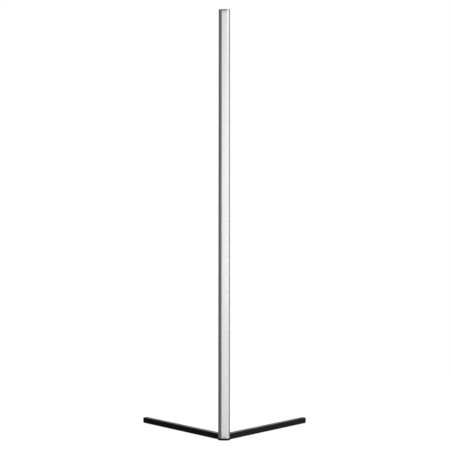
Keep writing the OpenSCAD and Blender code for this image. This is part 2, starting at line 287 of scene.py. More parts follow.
def cut_away(piece, cutter):
    """Takes the cutter's shape out of the piece, and the cutter goes."""
    apply_modifier(piece, "BOOLEAN", operation="DIFFERENCE", object=cutter, solver="EXACT")
    bpy.data.objects.remove(cutter)


def copy_of(piece, name):
    twin = piece.copy()
    twin.data = piece.data.copy()
    twin.name = name
    twin.data.name = name
    bpy.context.scene.collection.objects.link(twin)
    return twin


def join(pieces, name):
    deselect_all()
    for piece in pieces:
        piece.select_set(True)
    bpy.context.view_layer.objects.active = pieces[0]
    bpy.ops.object.join()
    return named(name)


def finish(piece, slot, *nodes, body="lamp"):
    """Gives the piece its finish, attaches it to the body that it moves with, and hides the nodes that it
    stands for.
    """
    piece.data.materials.clear()
    piece.data.materials.append(FINISHES[slot])
    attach(piece, body)
    if nodes:
        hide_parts(*nodes)


def finish_joined(pieces, name, slot, *nodes, sharper_than=SHARP):
    """Joins small pieces of the lamp, shades them and gives them their finish."""
    group = join(pieces, name)
    smooth_shading(group, sharper_than)
    finish(group, slot, *nodes)


def finish_copies(piece, name, places, slot, *nodes):
    """A piece that is modelled once is copied to each place, and the copies are joined."""
    copies = []
    for place in places:
        twin = copy_of(piece, name)
        turn_into_place(twin, place)
        copies.append(twin)
    bpy.data.objects.remove(piece)
    finish_joined(copies, name, slot, *nodes)


def softened_node(node, name, width, slot):
    """A copy of a CAD node, with its flat faces joined up and its edges softened, takes its place."""
    piece = copy_of(frame["nodes"][node], name)
    piece.parent = None
    for key in list(piece.keys()):
        del piece[key]
    select_only(piece)
    select_everything()
    bpy.ops.mesh.remove_doubles(threshold=WELD)
    bpy.ops.mesh.dissolve_limited(angle_limit=math.radians(0.5))
    object_mode()
    bpy.ops.mesh.customdata_custom_splitnormals_clear()
    soften_edges(piece, width)
    finish(piece, slot, node)


# ---- Building materials ----

def add_node(tree, kind, inputs=None, **settings):
    """Adds a node, sets its options, and sets or links its inputs."""
    made = tree.nodes.new(kind)
    for name, value in settings.items():
        setattr(made, name, value)
    for name, value in (inputs or {}).items():
        if isinstance(value, bpy.types.NodeSocket):
            tree.links.new(value, made.inputs[name])
        else:
            made.inputs[name].default_value = value
    return made


def maths(tree, operation, first, second):
    """What a math node makes of two values."""
    return add_node(tree, "ShaderNodeMath", {0: first, 1: second}, operation=operation).outputs[0]


def rescaled(tree, value, low, high, to_low=0.0, to_high=1.0, curve="LINEAR"):
    """A value that runs from low to high, drawn out or pressed together to another range."""
    return add_node(tree, "ShaderNodeMapRange", {
        "Value": value, "From Min": low, "From Max": high, "To Min": to_low, "To Max": to_high,
    }, interpolation_type=curve).outputs[0]


def mixed(tree, share, first, second):
    """The first shader, or as large a share of the second one."""
    return add_node(tree, "ShaderNodeMixShader", {0: share, 1: first, 2: second}).outputs[0]


def object_place(tree):
    return add_node(tree, "ShaderNodeTexCoord").outputs["Object"]


def make_surface_grain():
    """A node group: fine grain, which can be drawn out along the lamp, and broad soft patches."""
    group = bpy.data.node_groups.new("surface_grain", "ShaderNodeTree")
    for name, value in (("Fineness", 2000.0), ("Drawn Out", 1.0), ("Patch Size", 0.1)):
        socket = group.interface.new_socket(name=name, in_out="INPUT", socket_type="NodeSocketFloat")
        socket.default_value = value
    for name in ("Grain", "Patches"):
        group.interface.new_socket(name=name, in_out="OUTPUT", socket_type="NodeSocketFloat")
    given = group.nodes.new("NodeGroupInput")
    result = group.nodes.new("NodeGroupOutput")
    place = object_place(group)
    shorter = maths(group, "DIVIDE", 1.0, given.outputs["Drawn Out"])
    stretch = add_node(group, "ShaderNodeCombineXYZ", {"X": 1.0, "Y": 1.0, "Z": shorter})
    drawn = add_node(group, "ShaderNodeVectorMath", {0: place, 1: stretch.outputs[0]}, operation="MULTIPLY")
    grain = add_node(group, "ShaderNodeTexNoise", {
        "Vector": drawn.outputs[0], "Scale": given.outputs["Fineness"], "Detail": 3.0, "Roughness": 0.6,
    })
    per_metre = maths(group, "DIVIDE", 1.0, given.outputs["Patch Size"])
    broad = add_node(group, "ShaderNodeTexNoise", {
        "Vector": place, "Scale": per_metre, "Detail": 2.0, "Roughness": 0.5,
    })
    patches = rescaled(group, broad.outputs["Fac"], 0.35, 0.65, curve="SMOOTHSTEP")
    group.links.new(grain.outputs["Fac"], result.inputs["Grain"])
    group.links.new(patches, result.inputs["Patches"])
    return group


SURFACE_GRAIN = make_surface_grain()


def scaled(colour, factor):
    return [min(1.0, channel * factor) for channel in colour] + [1.0]


def grained_finish(colour, roughness, fineness, depth, patch, colour_swing,
                   drawn_out=1.0, roughness_swing=0.06, metallic=0.0, gloss=0.5):
    """A finish with its own grain: colour and roughness drift with it, and it lifts the surface."""
    material = bpy.data.materials.new("finish")
    material.use_nodes = True
    tree = material.node_tree
    shader = tree.nodes["Principled BSDF"]
    grain = add_node(tree, "ShaderNodeGroup", node_tree=SURFACE_GRAIN)
    grain.inputs["Fineness"].default_value = fineness
    grain.inputs["Drawn Out"].default_value = drawn_out
    grain.inputs["Patch Size"].default_value = patch
    both = maths(tree, "ADD", grain.outputs["Grain"], grain.outputs["Patches"])
    tint = rescaled(tree, both, 0.3, 1.5)
    paint = add_node(tree, "ShaderNodeValToRGB", {"Fac": tint})
    paint.color_ramp.elements[0].color = scaled(colour, 1 - colour_swing)
    paint.color_ramp.elements[1].color = scaled(colour, 1 + colour_swing)
    rough = rescaled(tree, tint, 0.0, 1.0, roughness - roughness_swing, roughness + roughness_swing)
    lift = add_node(tree, "ShaderNodeBump", {
        "Height": grain.outputs["Grain"], "Strength": 1.0, "Distance": depth,
    })
    tree.links.new(paint.outputs["Color"], shader.inputs["Base Color"])
    tree.links.new(rough, shader.inputs["Roughness"])
    tree.links.new(lift.outputs["Normal"], shader.inputs["Normal"])
    shader.inputs["Metallic"].default_value = metallic
    shader.inputs["Specular IOR Level"].default_value = gloss
    return material


# ---- The lamp's finishes ----

def satin_aluminium():
    """Satin anodised extrusion, with the fine lines that the die leaves along it."""
    return grained_finish(
        (0.74, 0.74, 0.75), roughness=0.22, fineness=2600, depth=0.001 * MM,
        drawn_out=400, patch=0.35, colour_swing=0.02, roughness_swing=0.03, metallic=0.92,
    )


def raw_aluminium():
    return grained_finish(
        (0.62, 0.62, 0.63), roughness=0.38, fineness=1800, depth=0.008 * MM,
        drawn_out=60, patch=0.05, colour_swing=0.08, roughness_swing=0.08, metallic=1.0,
    )


def dark_screw():
    """Black oxide on turned steel."""
    return grained_finish(
        (0.05, 0.05, 0.055), roughness=0.34, fineness=4000, depth=0.004 * MM,
        patch=0.004, colour_swing=0.2, roughness_swing=0.08, metallic=0.9,
    )


def milky_diffuser():
    """Milky extruded plastic with faint lines along it. Its colour is darkened towards both ends, more at the
    top: painted shade near the end pieces.
    """
    material = grained_finish(
        (0.86, 0.86, 0.86), roughness=0.3, fineness=1500, depth=0.001 * MM,
        drawn_out=300, patch=0.25, colour_swing=0.008, roughness_swing=0.03,
    )
    tree = material.node_tree
    shader = tree.nodes["Principled BSDF"]
    low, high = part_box("diffuser")
    painted_end_shade = 16 * MM
    height = add_node(tree, "ShaderNodeSeparateXYZ", {0: object_place(tree)}).outputs["Z"]
    # Painted shade: the base colour falls to half at the top end and to three quarters at the lower end, over
    # the last painted_end_shade of each.
    upper = rescaled(tree, height, high.z, high.z - painted_end_shade, 0.5, 1.0, "SMOOTHERSTEP")
    lower = rescaled(tree, height, low.z, low.z + painted_end_shade, 0.75, 1.0, "SMOOTHERSTEP")
    plain = shader.inputs["Base Color"].links[0].from_socket
    shaded = add_node(tree, "ShaderNodeVectorMath", {
        0: plain, "Scale": maths(tree, "MULTIPLY", upper, lower),
    }, operation="SCALE")
    tree.links.new(shaded.outputs[0], shader.inputs["Base Color"])
    return material


def adhesive_tape():
    return grained_finish(
        (0.70, 0.66, 0.55), roughness=0.55, fineness=900, depth=0.01 * MM,
        patch=0.02, colour_swing=0.08,
    )


def white_strip():
    return grained_finish(
        (0.85, 0.85, 0.83), roughness=0.5, fineness=2500, depth=0.003 * MM,
        patch=0.03, colour_swing=0.03,
    )


def chip_resin():
    return grained_finish(
        (0.88, 0.80, 0.45), roughness=0.22, fineness=3000, depth=0.003 * MM,
        patch=0.004, colour_swing=0.06,
    )


def black_plastic():
    """Moulded plastic with a fine spark-eroded grain."""
    return grained_finish(
        (0.012, 0.012, 0.013), roughness=0.46, fineness=2200, depth=0.015 * MM,
        patch=0.03, colour_swing=0.15, roughness_swing=0.07, gloss=0.3,
    )


def black_cast_metal():
    return grained_finish(
        (0.005, 0.005, 0.0055), roughness=0.36, fineness=1100, depth=0.006 * MM,
        patch=0.04, colour_swing=0.15, roughness_swing=0.05, gloss=0.2,
    )


def black_tube():
    """Satin black powder coat, with its slight orange peel."""
    return grained_finish(
        (0.0065, 0.0065, 0.007), roughness=0.33, fineness=900, depth=0.004 * MM,
        patch=0.08, colour_swing=0.15, roughness_swing=0.05, gloss=0.45,
    )


def black_rubber():
    return grained_finish(
        (0.008, 0.008, 0.008), roughness=0.8, fineness=1800, depth=0.02 * MM,
        patch=0.01, colour_swing=0.15,
    )


def dark_lens():
    return grained_finish(
        (0.05, 0.010, 0.012), roughness=0.1, fineness=600, depth=0.002 * MM,
        patch=0.01, colour_swing=0.1, roughness_swing=0.03,
    )


def button_plastic():
    return grained_finish(
        (0.12, 0.12, 0.125), roughness=0.35, fineness=3000, depth=0.008 * MM,
        patch=0.006, colour_swing=0.08,
    )


def component_metal():
    return grained_finish(
        (0.66, 0.66, 0.66), roughness=0.3, fineness=2500, depth=0.005 * MM,
        patch=0.006, colour_swing=0.08, metallic=1.0,
    )


def component_black():
    return grained_finish(
        (0.04, 0.04, 0.045), roughness=0.55, fineness=4000, depth=0.01 * MM,
        patch=0.004, colour_swing=0.15,
    )


def circuit_board():
    """Green solder mask, lighter and a little higher where copper tracks lie under it."""
    material = grained_finish(
        (0.018, 0.14, 0.06), roughness=0.32, fineness=2500, depth=0.004 * MM,
        patch=0.02, colour_swing=0.06, roughness_swing=0.04,
    )
    tree = material.node_tree
    shader = tree.nodes["Principled BSDF"]
    flat = add_node(tree, "ShaderNodeVectorMath", {
        0: object_place(tree), 1: (1.0, 0.0, 1.0),
    }, operation="MULTIPLY")
    cells = add_node(tree, "ShaderNodeTexVoronoi", {
        "Vector": flat.outputs[0], "Scale": 110.0, "Randomness": 0.9,
    }, distance="CHEBYCHEV", feature="F1")
    rings = maths(tree, "PINGPONG", cells.outputs["Distance"], 0.12)
    tracks = rescaled(tree, rings, 0.072, 0.08, curve="SMOOTHSTEP")
    plain = shader.inputs["Base Color"].links[0].from_socket
    coppered = add_node(tree, "ShaderNodeMix", {
        "Factor": tracks, 6: plain, 7: (0.045, 0.25, 0.10, 1),
    }, data_type="RGBA")
    tree.links.new(coppered.outputs[2], shader.inputs["Base Color"])
    lift = shader.inputs["Normal"].links[0].from_socket
    raised = add_node(tree, "ShaderNodeBump", {
        "Height": tracks, "Strength": 1.0, "Distance": 0.03 * MM, "Normal": lift,
    })
    tree.links.new(raised.outputs["Normal"], shader.inputs["Normal"])
    return material


def lead_sleeve():
    return grained_finish(
        (0.8, 0.8, 0.8), roughness=0.35, fineness=1500, depth=0.004 * MM,
        patch=0.02, colour_swing=0.03,
    )


# Each finish has the name of its function, which is that of its slot
FINISHES = {make.__name__: make() for make in (
    satin_aluminium, raw_aluminium, dark_screw, milky_diffuser, adhesive_tape, white_strip, chip_resin,
    black_plastic, black_cast_metal, black_tube, black_rubber, dark_lens, button_plastic,
    component_metal, component_black, circuit_board, lead_sleeve,
)}
for slot, material in FINISHES.items():
    material.name = slot


def finish_cad_nodes():
    """Every CAD node gets the finish that the record names for it."""
    for part in frame["record"]["subparts"]:
        node = frame["nodes"][part["node"]]
        for holder in node.material_slots:
            holder.material = FINISHES[part["material_slot"]]


# ---- The pole ----

def make_pole_sections():
    for length in ("lower", "middle", "upper"):
        softened_node("pole_section_" + length, "pole_length_" + length, 0.2 * MM, "satin_aluminium")


def draw_half_dome(thickness, turns, height):
    """Half of the diffuser's shallow dome, as flat faces: it is spun from its middle in the given turns."""
    centre = (0, POLE_FRONT + DOME_RADIUS, height)
    deselect_all()
    bpy.ops.mesh.primitive_plane_add(
        size=thickness, location=(-thickness / 2, POLE_FRONT + thickness / 2, height),
    )
    dome = named("diffuser_cover")
    apply_place(dome)
    select_points(dome, lambda point: point.x < -thickness / 2)
    bpy.ops.mesh.delete(type="VERT")
    bpy.ops.mesh.select_all(action="SELECT")
    bent = 0.0
    for reach, steps in turns:
        angle = math.asin(reach / DOME_RADIUS) - bent
        bent += angle
        bpy.ops.mesh.spin(steps=steps, angle=-angle, center=centre, axis=(0, 0, 1))
        bpy.ops.transform.resize(value=(0, 1, 1), center_override=(reach, 0, 0))
    object_mode()
    return dome


def draw_half_snap(dome, thickness, snap_start, head_half):
    """The leg that snaps behind the wing is drawn back out of the dome's end, and its hook out of the leg."""
    hook_height = 1.3 * MM
    low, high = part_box("diffuser")
    hook_start = high.y - hook_height
    centre = Vector((0, POLE_FRONT + DOME_RADIUS, low.z))
    inside = DOME_RADIUS - thickness + 0.1 * MM
    select_points(dome, lambda point: point.x > snap_start - NEAR and (point - centre).length < inside)
    extrude(0, hook_start - POLE_FRONT - thickness, 0)
    bpy.ops.transform.resize(value=(1, 0, 1), center_override=(0, hook_start, 0))
    extrude(0, hook_height, 0)
    select_points(dome, lambda point: near(point.x, head_half) and point.y > hook_start - NEAR)
    extrude(high.x - head_half, 0, 0)
    object_mode()


def make_diffuser():
    """Half of its section is drawn at the lower end, mirrored, and drawn up to the lamp's height."""
    thickness = 1.5 * MM
    head_half = 8.4 * MM
    snap_start = head_half - 1.4 * MM
    low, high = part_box("diffuser")
    diffuser = draw_half_dome(thickness, ((snap_start, 12), (head_half, 3)), low.z)
    draw_half_snap(diffuser, thickness, snap_start, head_half)
    apply_modifier(diffuser, "MIRROR")
    tidy_mesh(diffuser)
    select_everything()
    extrude(0, 0, high.z - low.z)
    object_mode()
    tidy_mesh(diffuser)
    soften_edges(diffuser, 0.2 * MM)
    finish(diffuser, "milky_diffuser", "diffuser")


def make_top_cap():
    softened_node("top_cap", "cap_moulding", 0.35 * MM, "black_plastic")


def make_control_panel():
    softened_node("control_panel", "rear_panel", 0.25 * MM, "black_plastic")


# ---- The foot ----

def make_foot():
    softened_node("foot_block", "foot_casting", 0.4 * MM, "black_cast_metal")
    softened_node("foot_pad", "foot_rubber", 0.2 * MM, "black_rubber")


def on_both_legs(piece, kind):
    """The piece is drawn along +X: it is turned onto the right leg, and a mirrored copy onto the left."""
    other = copy_of(piece, kind + "_left")
    turn_into_place(piece, Matrix.Rotation(LEG_TURN, 4, "Z"))
    turn_into_place(other, Matrix.Diagonal((-1, 1, 1, 1)) @ Matrix.Rotation(LEG_TURN, 4, "Z"))
    tidy_mesh(piece)
    tidy_mesh(other)
    return (other, "left"), (piece, "right")


def make_legs():
    """A bar with its long edges rounded and its ends taken off becomes a tube with the wall's thickness."""
    screw_hole = 2.6 * MM
    side = LEG_SIZE / 2
    tube = leg_bar("leg_tube_right", LEG_START, LEG_END)
    select_edges(tube, lambda a, b: near(a.y, b.y) and near(a.z, b.z))
    bevel(LEG_CORNER_RADIUS, LEG_CORNER_STEPS)
    select_faces(tube, lambda centre, normal: abs(normal.x) > FACING)
    bpy.ops.mesh.delete(type="FACE")
    object_mode()
    apply_modifier(tube, "SOLIDIFY", thickness=LEG_WALL, offset=-1, use_even_offset=True)
    tidy_mesh(tube, closer_than=0.1 * MM)
    for step in LEG_SCREW_STEPS:
        place = (LEG_START + step, LEG_AXIS_Z)
        cut_away(tube, rod("hole_cutter", screw_hole, side - 2 * LEG_WALL, side + 2 * LEG_WALL, place))
    for piece, which in on_both_legs(tube, "leg_tube"):
        soften_edges(piece, 0.1 * MM, sharper_than=45)
        finish(piece, "black_tube", "leg_" + which)


def make_leg_plugs():
    """A cap as large as the tube, with a hollow insert that is drawn out of its back."""
    insert_length = 16 * MM
    insert_inset = LEG_WALL + 0.1 * MM
    insert_wall = 2 * MM
    insert_floor = 1 * MM
    half = LEG_SIZE / 2
    plug = leg_bar("leg_end_right", LEG_END, LEG_REACH)
    select_facing(plug, -1, 0, 0)
    inset(insert_inset)
    extrude(-insert_length, 0, 0)
    inset(insert_wall)
    extrude(insert_length - insert_floor, 0, 0)
    select_edges(plug, lambda a, b: near(a.y, b.y) and near(a.z, b.z) and near(abs(a.y), half))
    bevel(LEG_CORNER_RADIUS, LEG_CORNER_STEPS)
    select_faces(plug, lambda centre, normal: normal.x > FACING and near(centre.x, LEG_REACH))
    bevel(0.5 * MM, 3)
    object_mode()
    soften_edges(plug, 0.15 * MM, sharper_than=45)
    for piece, side in on_both_legs(plug, "leg_end"):
        finish(piece, "black_plastic", "leg_plug_" + side)


def make_leg_pads():
    """A round pad is pulled apart into one with straight sides, and its underside gets a ring groove."""
    length = 28 * MM
    width = 12 * MM
    end_gap = 10 * MM
    groove_inset = 1.6 * MM
    groove_width = 0.8 * MM
    groove_slope = 0.3 * MM
    groove_depth = 0.3 * MM
    low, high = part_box("leg_pad_right")
    steps = 48
    middle = (0, 0, (low.z + high.z) / 2)
    pad = cylinder("leg_rubber_right", width / 2, high.z - low.z, middle, steps, (0, 0, math.pi / steps))
    for side in (-1, 1):
        select_points(pad, lambda point: side * point.x > 0)
        bpy.ops.transform.translate(value=(side * (length - width) / 2, 0, 0))
    select_facing(pad, 0, 0, -1)
    inset(groove_inset)
    inset(groove_slope, -groove_depth)
    inset(groove_width)
    inset(groove_slope, groove_depth)
    object_mode()
    soften_edges(pad, 0.15 * MM)
    pad.location.x = LEG_REACH - end_gap - length / 2
    apply_place(pad)
    for piece, side in on_both_legs(pad, "leg_rubber"):
        finish(piece, "black_rubber", "leg_pad_" + side)


# ---- Screws ----

FACING_BACK = Matrix.Rotation(math.radians(-90), 4, "X")
FINE_PITCH = 0.7 * MM
COARSE_PITCH = 0.9 * MM


def thread(radius, top, bottom, pitch):
    """The outline of a shank between two heights, with one ridge for each turn of its thread."""
    root = radius - 0.4 * pitch
    tip = 0.7 * root
    turns = int((top - bottom) / pitch)
    ridges = []
    for turn in range(turns):
        start = top - turn * pitch
        ridges += [(root, start), (radius, start - pitch / 2)]
    return ridges + [(root, top - turns * pitch), (tip, bottom)]


def hexagon_socket(screw, radius, top, depth):
    """Sinks the socket for the key into the head."""
    above = 1 * MM
    middle = (0, 0, top + (above - depth) / 2)
    cut_away(screw, cylinder("socket_cutter", radius, depth + above, middle, steps=6))


def flat_screw(radius, head_radius, length):
    """Countersunk, with its head's face at the height 0 and its tip down."""
    rim = 0.15 * MM
    head = head_radius - radius
    screw = turned_piece("flat_screw", [
        (head_radius - rim, 0), (head_radius, -rim / 2), (radius, -head),
        *thread(radius, -head - rim, -length, FINE_PITCH),
    ])
    hexagon_socket(screw, 0.5 * head_radius, 0, 0.8 * head)
    return screw


def button_screw(radius, head_radius, head_height, length):
    """With a domed head over the height 0 and its tip down."""
    neck = 0.3 * MM
    ball = (head_radius ** 2 + head_height ** 2) / (2 * head_height)
    flat_angle = math.asin(0.45 * head_radius / ball)
    rim_angle = math.asin(head_radius / ball)
    dome = []
    for share in ROUND:
        angle = flat_angle + (rim_angle - flat_angle) * share
        dome.append((ball * math.sin(angle), head_height - ball + ball * math.cos(angle)))
    screw = turned_piece("button_screw", [*dome, (radius, 0), *thread(radius, -neck, -length, COARSE_PITCH)])
    hexagon_socket(screw, 0.4 * head_radius, head_height, 1.6 * MM)
    return screw


def make_end_screws(node, name, head_radius, turn):
    """Two screws at an end of the pole, in the box that their CAD node fills. The foot's are turned over."""
    low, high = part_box(node)
    face = low.z if turn else high.z
    places = []
    for side in (-1, 1):
        spot = Matrix.Translation((side * (high.x - head_radius), (low.y + high.y) / 2, face))
        places.append(spot @ Matrix.Rotation(turn, 4, "X"))
    screw = flat_screw(1.45 * MM, head_radius, high.z - low.z)
    finish_copies(screw, name, places, "dark_screw", node)


def make_rear_screws(node, name, radius, heights):
    """Screws along the middle of the pole's rear, with the head and length that their CAD node has."""
    low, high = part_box(node)
    places = [Matrix.Translation((0, high.y, height)) @ FACING_BACK for height in heights]
    screw = flat_screw(radius, high.x, high.y - low.y)
    finish_copies(screw, name, places, "dark_screw", node)


def make_joiner_screws():
    steps = (-40 * MM, -15 * MM, 15 * MM, 40 * MM)
    joints = [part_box(section)[1].z for section in ("pole_section_lower", "pole_section_middle")]
    heights = [joint + step for joint in joints for step in steps]
    make_rear_screws("joiner_screws", "joiner_fixings", 1.95 * MM, heights)


def make_panel_screws():
    low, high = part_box("panel_screws")
    make_rear_screws("panel_screws", "panel_fixings", 1.2 * MM, (low.z + high.x, high.z - high.x))


def make_leg_screws():
    """Two screws on the inner side of each leg."""
    places = []
    for turn, side in ((LEG_TURN, 1), (math.pi - LEG_TURN, -1)):
        for step in LEG_SCREW_STEPS:
            spot = Matrix.Translation((LEG_START + step, side * LEG_SIZE / 2, LEG_AXIS_Z))
            facing = Matrix.Rotation(math.radians(-90 * side), 4, "X")
            places.append(Matrix.Rotation(turn, 4, "Z") @ spot @ facing)
    screw = button_screw(2.45 * MM, 4.4 * MM, 2.6 * MM, 10 * MM)
    finish_copies(screw, "leg_fixings", places, "dark_screw", "leg_screws")


# ---- Controls on the rear ----

def round_size(node):
    """The radius and the length of a round CAD node that has its middle at X = 0."""
    low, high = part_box(node)
    return high.x, high.y - low.y


def cut_slot(piece, width, length, depth, turn=0):
    """Cuts a slot across the face of a lathe piece, upright unless it is turned by some degrees."""
    cutter = block("slot_cutter", (-width / 2, -length / 2, -depth), (width / 2, length / 2, MM))
    turn_into_place(cutter, Matrix.Rotation(math.radians(turn), 4, "Z"))
    cut_away(piece, cutter)


def finish_on_rear(piece, slot, node, body="lamp", sharper_than=SHARP):
    """Turns a lathe piece so that its face looks back, with its middle in that of its CAD node."""
    low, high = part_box(node)
    centre = (low + high) / 2
    smooth_shading(piece, sharper_than)
    turn_into_place(piece, Matrix.Translation((centre.x, high.y, centre.z)) @ FACING_BACK)
    finish(piece, slot, node, body=body)


def make_power_button():
    """A dished cap, on a rim that keeps it in the panel."""
    rim, length = round_size("power_button")
    cap = 2.9 * MM
    shoulder = 1.3 * MM - length
    dish_ball = 8 * MM
    dish_depth = 0.35 * MM
    dish_radius = math.sqrt(dish_ball ** 2 - (dish_ball - dish_depth) ** 2)
    edge = 0.2 * MM
    corner = 0.3 * edge
    dish = []
    for share in ROUND:
        radius = dish_radius * share
        dish.append((radius, dish_ball - dish_depth - math.sqrt(dish_ball ** 2 - radius ** 2)))
    button = turned_piece("push_button", dish + [
        (cap - edge, 0), (cap - corner, -corner), (cap, -edge),
        (cap, shoulder), (rim - edge, shoulder), (rim, shoulder - edge),
        (rim, edge - length), (rim - edge, -length),
    ], steps=64)
    finish_on_rear(button, "button_plastic", "power_button", body="button", sharper_than=25)


def make_switch_stem():
    """A round stem with a waist between two heights."""
    radius, length = round_size("switch_stem")
    edge = 0.25 * MM
    waist_top = -1.2 * MM
    waist_bottom = -3 * MM
    waist_depth = 0.3 * MM
    waist = radius - waist_depth
    stem = turned_piece("button_stem", [
        (radius - edge, 0), (radius, -edge), (radius, waist_top), (waist, waist_top - waist_depth),
        (waist, waist_bottom + waist_depth), (radius, waist_bottom),
        (radius, edge - length), (radius - edge, -length),
    ])
    finish_on_rear(stem, "black_plastic", "switch_stem", body="button")


def make_window():
    """A smoked lens with a low dome."""
    radius, length = round_size("ir_window")
    dome_height = 0.35 * MM
    front_edge = 0.15 * MM
    rear_edge = 0.3 * MM
    dome = [((radius - front_edge) * share, -dome_height * share ** 2) for share in ROUND]
    window = turned_piece("receiver_lens", dome + [
        (radius, -dome_height - front_edge), (radius, rear_edge - length), (radius - rear_edge, -length),
    ], steps=48)
    finish_on_rear(window, "dark_lens", "ir_window")


def make_inlet():
    """The inlet's body, and its pin with a round nose and a slot across it."""
    softened_node("power_jack", "inlet_body", 0.15 * MM, "black_plastic")
    radius, length = round_size("jack_pin")
    edge = 0.3 * MM
    nose = ((0, 0), (0.45 * radius, -0.1 * MM), (0.8 * radius, -0.35 * MM), (radius, -0.9 * MM))
    pin = turned_piece("inlet_pin", [*nose, (radius, edge - length), (radius - edge, -length)])
    cut_slot(pin, 0.3 * MM, 4 * radius, 3.5 * MM)
    finish_on_rear(pin, "component_metal", "jack_pin")


# ---- Inside the pole ----

def make_joiners():
    for which in ("joiner_lower", "joiner_upper"):
        softened_node(which, which + "_bar", 0.4 * MM, "raw_aluminium")


CHIP_EDGE = 0.45 * MM
CHIP_SUNK = 0.3 * MM


def make_chip_frames():
    """A white frame with a sunk field is modelled once and copied along the strip."""
    low = CHIPS_LOW
    body = block("chip_frame", low, (CHIPS_HIGH.x, CHIPS_HIGH.y, low.z + CHIP_SIZE))
    bevel_corners(body, 0.6 * MM)
    select_facing(body, 0, -1, 0)
    inset(CHIP_EDGE)
    inset(0.15 * MM, -CHIP_SUNK)
    object_mode()
    finish_copies(body, "chip_frames", CHIP_STEPS, "white_strip")


def make_chip_lenses():
    """The resin in the sunk field of each chip, with a sloping rim."""
    field = CHIPS_LOW.y + CHIP_SUNK
    height = 0.1 * MM
    radius = CHIP_SIZE / 2 - CHIP_EDGE - 0.3 * MM
    place = (0, CHIPS_LOW.z + CHIP_SIZE / 2)
    resin = rod("chip_lens", radius, field - height, field + height, place, steps=16)
    select_facing(resin, 0, -1, 0)
    inset(0.5 * MM, height)
    object_mode()
    finish_copies(resin, "chip_lenses", CHIP_STEPS, "chip_resin", "led_chips")


STRIP_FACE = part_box("led_strip")[0].y
FIRST_CUT_Z = CHIPS_LOW.z + (CHIP_SIZE + CHIP_PITCH) / 2


def make_strip_pads():
    """Three tinned pads with rounded corners at each place where the strip can be cut."""
    half = Vector((0.9 * MM, 0.03 * MM, 1.6 * MM))
    pads = []
    for x in (-3.2 * MM, 0, 3.2 * MM):
        middle = Vector((x, STRIP_FACE, FIRST_CUT_Z))
        pad = block("pad", middle - half, middle + half)
        bevel_corners(pad, 0.4 * MM, 2)
        pads.append(pad)
    finish_copies(join(pads, "cut_pads"), "strip_pads", GAP_STEPS, "component_metal")


def make_strip_resistors():
    """A small resistor beside each chip, with a tinned cap over each end."""
    half = Vector((0.4 * MM, 0.22 * MM, 0.8 * MM))
    cap_half = Vector((0.42 * MM, 0.23 * MM, 0.14 * MM))
    cap_out = half.z + 0.05 * MM
    middle = Vector((2.4 * MM, STRIP_FACE - half.y, FIRST_CUT_Z - 3.6 * MM))
    body = block("resistor", middle - half, middle + half)
    select_facing(body, 0, -1, 0)
    inset(0.06 * MM, 0.02 * MM)
    object_mode()
    finish_copies(body, "strip_resistors", GAP_STEPS, "component_black")
    ends = []
    for side in (-1, 1):
        end = middle + Vector((0, 0, side * cap_out))
        cap = block("resistor_end", end - cap_half, end + cap_half)
        bevel_corners(cap, 0.06 * MM)
        ends.append(cap)
    finish_copies(join(ends, "resistor_ends"), "strip_resistor_ends", GAP_STEPS, "component_metal")


def make_board():
    """The board with rounded corners and two fixing holes with tinned rings."""
    low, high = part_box("controller_board")
    hole = 1.1 * MM
    ring_width = 0.7 * MM
    ring_height = 0.04 * MM
    places = ((low.x + 3 * MM, low.z + 4 * MM), (high.x - 3 * MM, high.z - 4 * MM))
    board = block("control_board", low, high)
    bevel_corners(board, 1.5 * MM, 4)
    rings = []
    for place in places:
        cut_away(board, rod("hole_cutter", hole, low.y - MM, high.y + MM, place))
        ring = rod("ring", hole + ring_width, high.y - ring_height, high.y + ring_height, place)
        cut_away(ring, rod("hole_cutter", hole, low.y - MM, high.y + MM, place))
        rings.append(ring)
    soften_edges(board, 0.08 * MM)
    finish(board, "circuit_board", "controller_board")
    finish_joined(rings, "board_rings", "component_metal")


# Where the wires of each piece on the board come through it: the wire's radius, and the places of the wires
# as shares of the piece's half width from its middle and of its height from its lower end
SOLDERED = (
    ("power_jack", 0.5 * MM, ((0, 0.2), (0, 0.8), (0.8, 0.5))),
    ("ir_receiver", 0.25 * MM, ((-0.7, 0.25), (0, 0.25), (0.7, 0.25))),
    ("switch_body", 0.35 * MM, ((-0.8, 0.12), (0.8, 0.12), (-0.8, 0.88), (0.8, 0.88))),
    ("capacitor", 0.3 * MM, ((-0.4, 0.5), (0.4, 0.5))),
)
# A cone of solder drawn up round a wire: radii as shares of the wire's, and heights in millimetres
SOLDER_CONE = ((0.4, 1.1), (1.0, 1.0), (1.1, 0.8), (1.4, 0.45), (1.9, 0.15), (2.3, 0.0), (2.3, -0.05))


def make_solder_joints():
    """The wires of the pieces that stand on the board come through it and are soldered in front."""
    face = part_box("controller_board")[0].y
    facing_front = Matrix.Rotation(math.radians(90), 4, "X")
    joints = []
    for node, wire, places in SOLDERED:
        low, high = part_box(node)
        outline = [(radius * wire, height * MM) for radius, height in SOLDER_CONE]
        for across, up in places:
            x = (low.x + high.x) / 2 + across * (high.x - low.x) / 2
            z = low.z + up * (high.z - low.z)
            joint = turned_piece("solder_joint", outline, steps=20)
            turn_into_place(joint, Matrix.Translation((x, face, z)) @ facing_front)
            joints.append(joint)
    finish_joined(joints, "board_solder", "component_metal", sharper_than=40)


def make_radio():
    """A small board with half-round contacts at its sides, a folded tin cover and an aerial."""
    low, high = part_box("radio_module")
    face = low.y + 0.8 * MM
    contact = 0.45 * MM
    pitch = 1.5 * MM
    board = block("radio_board", low, (high.x, face, high.z))
    for number in range(7):
        height = low.z + 1.6 * MM + number * pitch
        for side in (low.x, high.x):
            cut_away(board, rod("contact_cutter", contact, low.y - MM, high.y, (side, height), steps=16))
    smooth_shading(board)
    finish(board, "circuit_board")
    margin = 0.8 * MM
    make_radio_cover((low.x + margin, face, low.z + margin), (high.x - margin, high.y, high.z - 4 * MM))
    make_aerial(face, high.z - 3.4 * MM, high.z - 0.6 * MM, high.x - margin)


